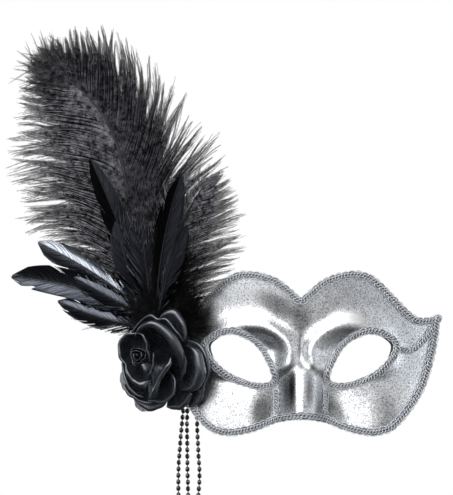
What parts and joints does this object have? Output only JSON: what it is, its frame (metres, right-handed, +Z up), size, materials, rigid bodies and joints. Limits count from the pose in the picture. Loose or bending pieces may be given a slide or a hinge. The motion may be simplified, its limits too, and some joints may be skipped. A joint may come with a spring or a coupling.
{
  "type": "venetian masquerade mask",
  "caption": "Half mask moulded round brows, eyes and nose, with braid edging, a satin rose, a feather spray and hanging bead strands at one side.",
  "frame": {"origin": "on the mid plane, midway between the inner faces of the two crests beside the nose bridge and level with the middle of the eyes, where the mask rests on the face", "axes": "+Y points back towards the wearer, so the mask faces -Y; +Z is up; +X is the wearer's left"},
  "size_m": [0.2641, 0.0606, 0.3307],
  "materials": {
    "moulded_shell": "matt black moulded shell under the cloth",
    "silver_foil_cloth": "bright silver foil cloth with a fine grain",
    "black_lining": "matt black woven lining",
    "silver_braid": "silver-grey gimp braid with a metallic thread",
    "black_felt": "matt black felt",
    "eyelet_metal": "plain pressed steel",
    "black_satin": "black satin with a soft blue-grey sheen and fused bright rims",
    "sheer_organza": "sheer black organza",
    "ostrich_barbs": "soft black ostrich barbs, grey and open at their ends",
    "feather_shaft": "dyed black quill",
    "glossy_feather": "glossy black hackle with a blue-white sheen",
    "black_bead": "glossy black faceted bead",
    "bead_thread": "black thread"
  },
  "bodies": {
    "mask": {"mask_shell": "moulded_shell", "mask_facing": "silver_foil_cloth", "mask_lining": "black_lining", "edge_braid": "silver_braid", "eye_braid_left": "silver_braid", "eye_braid_right": "silver_braid", "nose_braid_left": "silver_braid", "nose_braid_right": "silver_braid", "wing_braid_left": "silver_braid", "wing_braid_right": "silver_braid", "tie_tab_left": "black_felt", "tie_tab_right": "black_felt", "tie_eyelet_left": "eyelet_metal", "tie_eyelet_right": "eyelet_metal", "rose_backing": "black_felt", "rose_bud": "black_satin", "inner_petal_1": "black_satin", "inner_petal_2": "black_satin", "inner_petal_3": "black_satin", "middle_petal_1": "black_satin", "middle_petal_2": "black_satin", "middle_petal_3": "black_satin", "middle_petal_4": "black_satin", "outer_petal_1": "black_satin", "outer_petal_2": "black_satin", "outer_petal_3": "black_satin", "outer_petal_4": "black_satin", "outer_petal_5": "black_satin", "guard_petal_1": "black_satin", "guard_petal_2": "black_satin", "guard_petal_3": "black_satin", "guard_petal_4": "black_satin", "sheer_petal_1": "sheer_organza", "sheer_petal_2": "sheer_organza", "feather_pad": "black_felt", "strand_patch": "black_felt"},
    "plume": {"plume_shaft": "feather_shaft", "plume_vane": "ostrich_barbs"},
    "short_plume": {"short_plume_shaft": "feather_shaft", "short_plume_vane": "ostrich_barbs"},
    "side_feathers": {"side_feather_1": "glossy_feather", "side_feather_2": "glossy_feather", "side_feather_3": "glossy_feather", "side_feather_4": "glossy_feather"},
    "crest_feathers": {"crest_feather_1": "glossy_feather", "crest_feather_2": "glossy_feather", "crest_feather_3": "glossy_feather", "crest_feather_4": "glossy_feather", "crest_feather_5": "glossy_feather"},
    "strand_1_loop": {"strand_1_lead": "black_bead"},
    "strand_1": {"strand_1_thread": "bead_thread", "strand_1_beads": "black_bead"},
    "strand_2_loop": {"strand_2_lead": "black_bead"},
    "strand_2": {"strand_2_thread": "bead_thread", "strand_2_beads": "black_bead"},
    "strand_3_loop": {"strand_3_lead": "black_bead"},
    "strand_3": {"strand_3_thread": "bead_thread", "strand_3_beads": "black_bead"}
  },
  "joints": [
    {"name": "plume_sway", "type": "hinge", "parent": "mask", "child": "plume", "pos_m": [-0.088, 0.038, 0.016], "axis": [0, 1, 0], "range_deg": [-5, 5], "stiffness_Nm_per_rad": 0.25},
    {"name": "short_plume_sway", "type": "hinge", "parent": "mask", "child": "short_plume", "pos_m": [-0.088, 0.03, 0.016], "axis": [0.454, 0.891, 0], "range_deg": [-4, 4], "stiffness_Nm_per_rad": 0.08},
    {"name": "side_feathers_sway", "type": "hinge", "parent": "mask", "child": "side_feathers", "pos_m": [-0.091, 0.0324, 0.022], "axis": [0, 1, 0], "range_deg": [-4, 4], "stiffness_Nm_per_rad": 0.08},
    {"name": "crest_feathers_sway", "type": "hinge", "parent": "mask", "child": "crest_feathers", "pos_m": [-0.089, 0.027, 0.022], "axis": [0, 1, 0], "range_deg": [-4, 4], "stiffness_Nm_per_rad": 0.08},
    {"name": "strand_1_swing", "type": "hinge", "parent": "mask", "child": "strand_1_loop", "pos_m": [-0.0706, 0.0314, -0.025], "axis": [1, 0, 0], "range_deg": [-4, 25]},
    {"name": "strand_1_sway", "type": "hinge", "parent": "strand_1_loop", "child": "strand_1", "pos_m": [-0.0706, 0.0314, -0.02895], "axis": [0, 1, 0], "range_deg": [-20, 20]},
    {"name": "strand_2_swing", "type": "hinge", "parent": "mask", "child": "strand_2_loop", "pos_m": [-0.0682, 0.0272, -0.025], "axis": [1, 0, 0], "range_deg": [-4, 25]},
    {"name": "strand_2_sway", "type": "hinge", "parent": "strand_2_loop", "child": "strand_2", "pos_m": [-0.0682, 0.0272, -0.02895], "axis": [0, 1, 0], "range_deg": [-20, 20]},
    {"name": "strand_3_swing", "type": "hinge", "parent": "mask", "child": "strand_3_loop", "pos_m": [-0.0626, 0.023, -0.025], "axis": [1, 0, 0], "range_deg": [-4, 25]},
    {"name": "strand_3_sway", "type": "hinge", "parent": "strand_3_loop", "child": "strand_3", "pos_m": [-0.0626, 0.023, -0.02895], "axis": [0, 1, 0], "range_deg": [-20, 20]}
  ]
}
